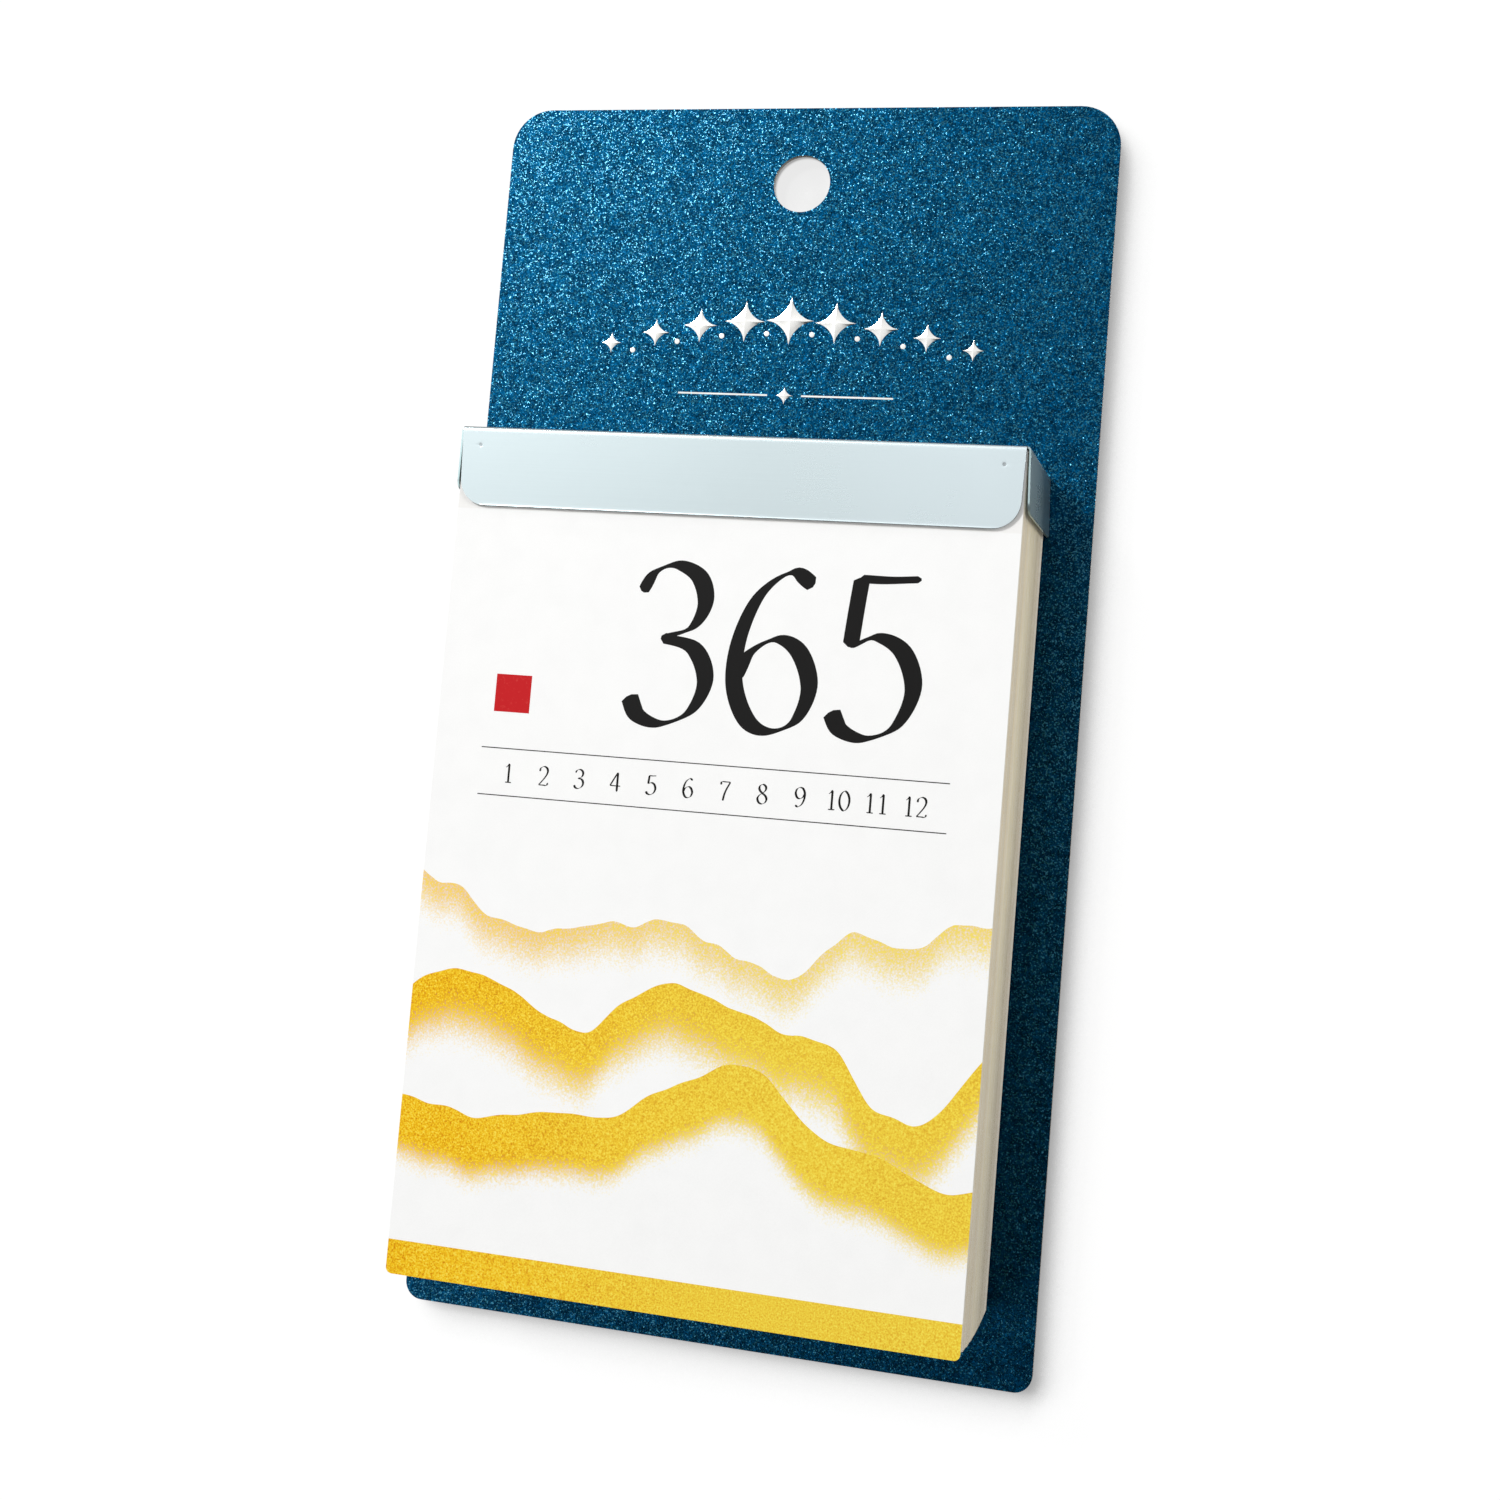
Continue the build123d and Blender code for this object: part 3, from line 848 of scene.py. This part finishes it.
def printing_ink(name, colour, worn):
    """Offset ink: a solid colour that breaks a little where the paper shows through."""
    material, tree, shader, place = new_finish(name)
    patch = span(tree, grain(tree, place, 2400.0, 3.0, 0.6), 0.55, 0.8, 0.0, 0.45)
    feed(tree, shader.inputs["Base Color"], blend_colour(tree, patch, colour, worn))
    feed(tree, shader.inputs["Roughness"], span(tree, patch, 0.0, 0.45, 0.6, 0.75, False))
    shader.inputs["Specular IOR Level"].default_value = 0.15
    return material


GLITTER_PAPER = glitter_paper()
GREY_CARD = card_finish("grey_card", srgb(150, 146, 138), srgb(176, 171, 162), 2600.0)
BACK_CARD = card_finish("back_card", srgb(226, 222, 212), srgb(238, 234, 226), 3000.0)
LEAF_PAPER = leaf_paper()
COVER_PRINT = cover_print()
COVER_PAPER = plain_cover_paper()
# Tinplate of the flap, with painted light that brightens it towards the right end
TINPLATE = metal_finish("tinplate", srgb(192, 205, 208), srgb(202, 215, 218), (60.0, 4000.0, 4000.0),
                        (0.27, 0.30), 0.02, 0.86, srgb(213, 226, 230))
# Duller copy of the tinplate for the ears and claws: painted shade on the sides
SHADED_SIDE_TINPLATE = metal_finish("shaded_side_tinplate", srgb(168, 190, 192), srgb(180, 202, 204),
                             (4000.0, 60.0, 4000.0), (0.27, 0.30), 0.02, 0.86)
# Darker, rougher copy for the dimple floors: the darker colour is painted shade in the shallow hollows
DIMPLE_SHADE_TINPLATE = metal_finish("dimple_shade_tinplate", srgb(146, 154, 157), srgb(162, 169, 172),
                                (900.0, 900.0, 900.0), (0.45, 0.55), 0.1, 0.7)
# Cut rims: bare steel, painted darker still as the shadow line under the flap's foot
SHADED_CUT_TINPLATE = metal_finish("shaded_cut_tinplate", srgb(74, 80, 84), srgb(98, 104, 108), (900.0, 900.0, 900.0),
                            (0.45, 0.55), 0.1, 0.7)
STAPLE_WIRE = metal_finish("staple_wire", srgb(168, 166, 160), srgb(206, 204, 198), (400.0, 400.0, 6000.0),
                           (0.25, 0.42), 0.1)
SILVER_FOIL = metal_finish("silver_foil", srgb(226, 226, 222), srgb(246, 246, 244), (2200.0, 2200.0, 2200.0),
                           (0.10, 0.26), 0.3)
BLACK_INK = printing_ink("black_ink", srgb(9, 8, 8), srgb(30, 28, 27))
RED_INK = printing_ink("red_ink", srgb(196, 24, 30), srgb(222, 92, 84))


# CAD nodes

NODE_FINISHES = {
    "board_core": GREY_CARD,
    "board_face_paper": GLITTER_PAPER,
    "pad_back_card": BACK_CARD,
    "cover_stub": COVER_PAPER,
    "left_staple": STAPLE_WIRE,
    "right_staple": STAPLE_WIRE,
}
for name, cad_node in nodes.items():
    finish = NODE_FINISHES.get(name, LEAF_PAPER)
    if not cad_node.material_slots:
        cad_node.data.materials.append(finish)
    for material_slot in cad_node.material_slots:
        material_slot.material = finish


# New pieces

# The saddle's cut rims take the material after its own, painted dark as the shadow line under the flap;
# the ears and claws have the last one all round, a tinplate painted duller as shade on the sides
CLIP_MATERIALS = [TINPLATE, SHADED_CUT_TINPLATE, DIMPLE_SHADE_TINPLATE, SHADED_SIDE_TINPLATE]
SADDLE, DIMPLE, SIDE = 0, 2, 3
saddle_shell = clip_saddle()
clip_shell = join_shells([saddle_shell, clip_ear(-1), clip_ear(1), clip_claw(-CLAW_X), clip_claw(CLAW_X)])
clip_finishes = np.where(in_dimple(clip_shell), DIMPLE, SADDLE)
clip_finishes[len(saddle_shell[1]):] = SIDE
clip = add_piece(
    "folded_clip", clip_shell, CLIP_MATERIALS, "mounted_pad", ["tinplate_clip"], clip_finishes
)
thicken(clip, SHEET)
round_edges(clip, EDGE_ROUNDING)

cover_shell, cover_plain = cover_solid()
add_piece(
    "printed_cover", cover_shell, [COVER_PRINT, COVER_PAPER], "cover",
    ["cover_sheet"], cover_plain,
)


def printed(name, shells, material, body):
    """Thin layer of ink or foil in front of what it is printed on."""
    return add_piece(name, join_shells(shells), [material], body)


def level(y):
    """Depth function of a flat sheet whose front is at y."""
    return lambda x, z: 0 * x + y


def printed_rules(half, heights, width, depth):
    """Thin lines across the sheet, each from its height upwards by its width."""
    return [printed_bar(-half, half, height, height + width, depth) for height in heights]


# Cover: a large number of days, a ruled row of month numbers and a small red mark
DAYS_PLACE = (9.0, -95.0)
DAYS_HEIGHT = 25.0
MONTH_LEFT = -33.0
MONTH_STEP = 6.0
MONTH_FOOT = -106.2
MONTH_HEIGHT = 3.0
COVER_RULE_HALF = 38.0
COVER_RULE_HEIGHTS = (-100.9, -108.4)
COVER_RULE_WIDTH = 0.15
COVER_MARK = (-36.5, -30.5, -95.0, -89.0)
cover_shells = numerals("365", DAYS_PLACE, DAYS_HEIGHT, cover_depth)
for month in range(12):
    month_place = (MONTH_LEFT + MONTH_STEP * month, MONTH_FOOT)
    cover_shells += numerals(str(month + 1), month_place, MONTH_HEIGHT, cover_depth)
cover_shells += printed_rules(COVER_RULE_HALF, COVER_RULE_HEIGHTS, COVER_RULE_WIDTH, cover_depth)
printed("cover_numbers", cover_shells, BLACK_INK, "cover")
printed("cover_mark", [printed_bar(*COVER_MARK, cover_depth)], RED_INK, "cover")

# Day leaves: the day, the month and a row of seven spots for the week
LEAF_PRINTS = (
    ("day_1_leaf", "day_1", 0, "1"),
    ("day_2_leaf", "day_2", 1, "2"),
    ("week_1_leaves", "lifting_leaves", 2, "3"),
    ("january_leaves", "mounted_pad", 7, "8"),
)
DAY_PLACE = (0.0, -146.0)
DAY_HEIGHT = 52.0
LEAF_MONTH_PLACE = (-34.0, -76.5)
LEAF_MONTH_HEIGHT = 8.0
LEAF_RULE_HALF = 40.0
LEAF_RULE_HEIGHTS = (-80.5, -161.3)
LEAF_RULE_WIDTH = 0.3
WEEK = 7
SPOT_LEFT = -24.0
SPOT_STEP = 8.0
SPOT_HEIGHT = -169.0
SPOT_RADIUS = 1.5
MARK_RADIUS = 2.1
for node_name, body, leaf, day in LEAF_PRINTS:
    depth = level(PAD_FRONT + leaf * LEAF_THICKNESS - INK_CLEARANCE)
    shells = numerals(day, DAY_PLACE, DAY_HEIGHT, depth)
    shells += numerals("1", LEAF_MONTH_PLACE, LEAF_MONTH_HEIGHT, depth)
    shells += printed_rules(LEAF_RULE_HALF, LEAF_RULE_HEIGHTS, LEAF_RULE_WIDTH, depth)
    spots = [(SPOT_LEFT + SPOT_STEP * place, SPOT_HEIGHT) for place in range(WEEK)]
    today = spots.pop(leaf % WEEK)
    shells += [printed_spot(spot, SPOT_RADIUS, depth) for spot in spots]
    printed(f"{node_name}_print", shells, BLACK_INK, body)
    printed(f"{node_name}_mark", [printed_spot(today, MARK_RADIUS, depth)], RED_INK, body)

# Board: a shallow arch of graded foil stars over a thin divider
STAR_COUNT = 9
ARCH_HALF = 32.0
ARCH_FOOT = -28.5
ARCH_RISE = 4.5
STAR_LEAST = 1.8
STAR_GROWTH = 2.4
DOT_DROP = 2.2
DOT_RADIUS = 0.45
DIVIDER_ENDS = ((-19.0, -3.0), (3.0, 19.0))
DIVIDER_HEIGHT = -37.0
DIVIDER_HALF_WIDTH = 0.15
DIVIDER_STAR = 1.5
star_place = np.linspace(-1, 1, STAR_COUNT)
star_x = ARCH_HALF * star_place
star_z = ARCH_FOOT + ARCH_RISE * (1 - star_place**2)
star_size = STAR_LEAST + STAR_GROWTH * (1 - np.abs(star_place))
dot_x = (star_x[:-1] + star_x[1:]) / 2
dot_z = (star_z[:-1] + star_z[1:]) / 2 - DOT_DROP
divider_foot = DIVIDER_HEIGHT - DIVIDER_HALF_WIDTH
divider_top = DIVIDER_HEIGHT + DIVIDER_HALF_WIDTH
board_depth = level(BOARD_FRONT)
foil = [foil_star((x, z), size, board_depth) for x, z, size in zip(star_x, star_z, star_size)]
foil += [foil_spot(dot, DOT_RADIUS, board_depth) for dot in zip(dot_x, dot_z)]
foil += [printed_bar(*ends, divider_foot, divider_top, board_depth) for ends in DIVIDER_ENDS]
foil += [foil_star((0.0, DIVIDER_HEIGHT), DIVIDER_STAR, board_depth)]
printed("foil_ornament", foil, SILVER_FOIL, "mounted_pad")


# Studio

# The wall's shade near the board is a painted shadow in its white lift, and painted light lifts it again
# behind the hang hole
WALL_Y = 0.0016
SHADE_REACH = 0.0088
OPEN_LEFT = (-0.97, -0.24, 0.0)
OPEN_ABOVE = (0.0, -0.24, 0.97)
HOLE_LIGHT = (0.0052, 0.0070)
HOLE_OPENNESS = 0.92
OPENNESS = (0.78, 0.98)
WALL_WHITE = (0.36, 0.96)
WALL_GREY = (0.065, 0.07)
MIRRORED_WALL = 0.18
STAGE_HALF = 1.6


def studio_paper():
    """White backdrop paper: lit and shadowed by the lamps, lifted to white for what looks at it, with a
    painted shadow where that lift drops as the object covers it from the left and from above, painted light
    behind the hang hole, and clear from behind and for shadows, so that the back of the board can be seen and
    lit."""
    material, tree, shader, place = new_finish("studio_paper")
    tree.nodes.remove(shader)
    path = add_node(tree, "LightPath").outputs
    cloud = span(tree, grain(tree, place, 3.0), 0.3, 0.7, *WALL_GREY, False)
    tint = add_node(tree, "CombineColor", {0: cloud, 1: cloud, 2: cloud}).outputs[0]
    paper = add_node(tree, "BsdfDiffuse", {"Color": tint})
    mirrored = calc(tree, "MULTIPLY", path["Is Glossy Ray"], MIRRORED_WALL)
    seen = calc(tree, "MAXIMUM", path["Is Camera Ray"],
                calc(tree, "MAXIMUM", mirrored, path["Is Transmission Ray"]))
    # painted shadow: how open the wall is to the left and above sets how far its white lift drops
    open_left, open_above = (
        add_node(tree, "AmbientOcclusion", {
            "Distance": SHADE_REACH,
            "Normal": add_node(tree, "CombineXYZ", dict(enumerate(side))).outputs[0],
        }).outputs["AO"]
        for side in (OPEN_LEFT, OPEN_ABOVE)
    )
    # painted light: the wall is lifted again behind the hang hole
    from_hole = add_node(tree, "VectorMath", {0: place}, operation="LENGTH").outputs["Value"]
    hole_painted_light = span(tree, from_hole, *HOLE_LIGHT, HOLE_OPENNESS, 0.0)
    near = calc(tree, "MAXIMUM", calc(tree, "MAXIMUM", open_left, open_above), hole_painted_light)
    white = span(tree, near, *OPENNESS, *WALL_WHITE, False)
    lift = add_node(tree, "Emission", {"Strength": calc(tree, "MULTIPLY", seen, white)})
    lit = add_node(tree, "AddShader", {0: paper.outputs[0], 1: lift.outputs[0]})
    behind = add_node(tree, "NewGeometry").outputs["Backfacing"]
    unseen = calc(tree, "MAXIMUM", behind, path["Is Shadow Ray"])
    clear = add_node(tree, "BsdfTransparent")
    surface = add_node(tree, "MixShader", {0: unseen, 1: lit.outputs[0], 2: clear.outputs[0]})
    feed(tree, tree.nodes["Material Output"].inputs["Surface"], surface.outputs[0])
    return material


def stage_sheet(name, corners, material):
    """Flat stage sheet through four corners, facing the side from which they run anticlockwise."""
    mesh = bpy.data.meshes.new(name)
    mesh.from_pydata(corners, [], [(0, 1, 2, 3)])
    mesh.materials.append(material)
    sheet = bpy.data.objects.new(name, mesh)
    bpy.context.scene.collection.objects.link(sheet)


STUDIO_PAPER = studio_paper()
stage_sheet("wall", [(-STAGE_HALF, WALL_Y, -STAGE_HALF), (STAGE_HALF, WALL_Y, -STAGE_HALF),
                     (STAGE_HALF, WALL_Y, STAGE_HALF), (-STAGE_HALF, WALL_Y, STAGE_HALF)], STUDIO_PAPER)


def area_lamp(name, place, target, size, power):
    """Square soft lamp at place, turned to face target."""
    lamp = bpy.data.lights.new(name, "AREA")
    lamp.size = size
    lamp.energy = power
    holder = bpy.data.objects.new(name, lamp)
    holder.location = place
    aim = np.array(target) - np.array(place)
    from_top = math.acos(-aim[2] / np.linalg.norm(aim))
    around = math.atan2(aim[1], aim[0])
    holder.rotation_euler = (from_top, 0.0, around - math.pi / 2)
    bpy.context.scene.collection.objects.link(holder)
    return holder


LAMP_TARGET = (0.0, 0.0, -0.09)
area_lamp("key_lamp", (-0.742, -1.12, 0.652), LAMP_TARGET, 0.28, 13.4)
area_lamp("side_lamp", (0.80, -0.45, 0.15), LAMP_TARGET, 0.3, 1.85)
area_lamp("back_lamp", (0.35, 0.80, 0.45), LAMP_TARGET, 0.7, 11.0)

# The studio is bright from the eye's height up and low at the left, and dim below and at the right, as the
# metal and the glitter show
AMBIENT = 0.49
DIM_BELOW = 0.02
DIM_RIGHT = 0.15
LOW_LEFT = 3.0
HORIZON = (-0.20, 0.08)
LEFT_CARD = (-0.60, -0.27)
RIGHT_FADE = (0.15, 0.42)
world = bpy.data.worlds.new("studio")
bpy.context.scene.world = world
world.use_nodes = True
sky = world.node_tree
looks = add_node(sky, "LightPath").outputs
towards = add_node(sky, "SeparateXYZ", {0: add_node(sky, "TexCoord").outputs["Generated"]}).outputs
above = span(sky, towards[2], *HORIZON)
below = span(sky, towards[0], *LEFT_CARD, LOW_LEFT, DIM_BELOW)
mirrored = add_node(sky, "Mix", {0: above, 2: below, 3: 1.0}).outputs[0]
mirrored = calc(sky, "MULTIPLY", mirrored, span(sky, towards[0], *RIGHT_FADE, 1.0, DIM_RIGHT))
strength = add_node(sky, "Mix", {0: looks["Is Glossy Ray"], 2: AMBIENT, 3: mirrored}).outputs[0]
clear_view = calc(sky, "MAXIMUM", looks["Is Camera Ray"], looks["Is Transmission Ray"])
strength = add_node(sky, "Mix", {0: clear_view, 2: strength, 3: 1.0}).outputs[0]
feed(sky, sky.nodes["Background"].inputs["Strength"], strength)
sky.nodes["Background"].inputs["Color"].default_value = (1.0, 1.0, 1.0, 1.0)

camera = bpy.data.cameras.new("photo_camera")
camera.lens = CAMERA_LENS
camera.sensor_width = CAMERA_SENSOR
camera.shift_x, camera.shift_y = CAMERA_SHIFT
camera.clip_start = 0.005
viewer = bpy.data.objects.new("photo_camera", camera)
viewer.location = CAMERA_PLACE
viewer.rotation_euler = [math.radians(angle) for angle in CAMERA_TURN]
bpy.context.scene.collection.objects.link(viewer)
bpy.context.scene.camera = viewer
bpy.context.scene.view_settings.view_transform = "Standard"
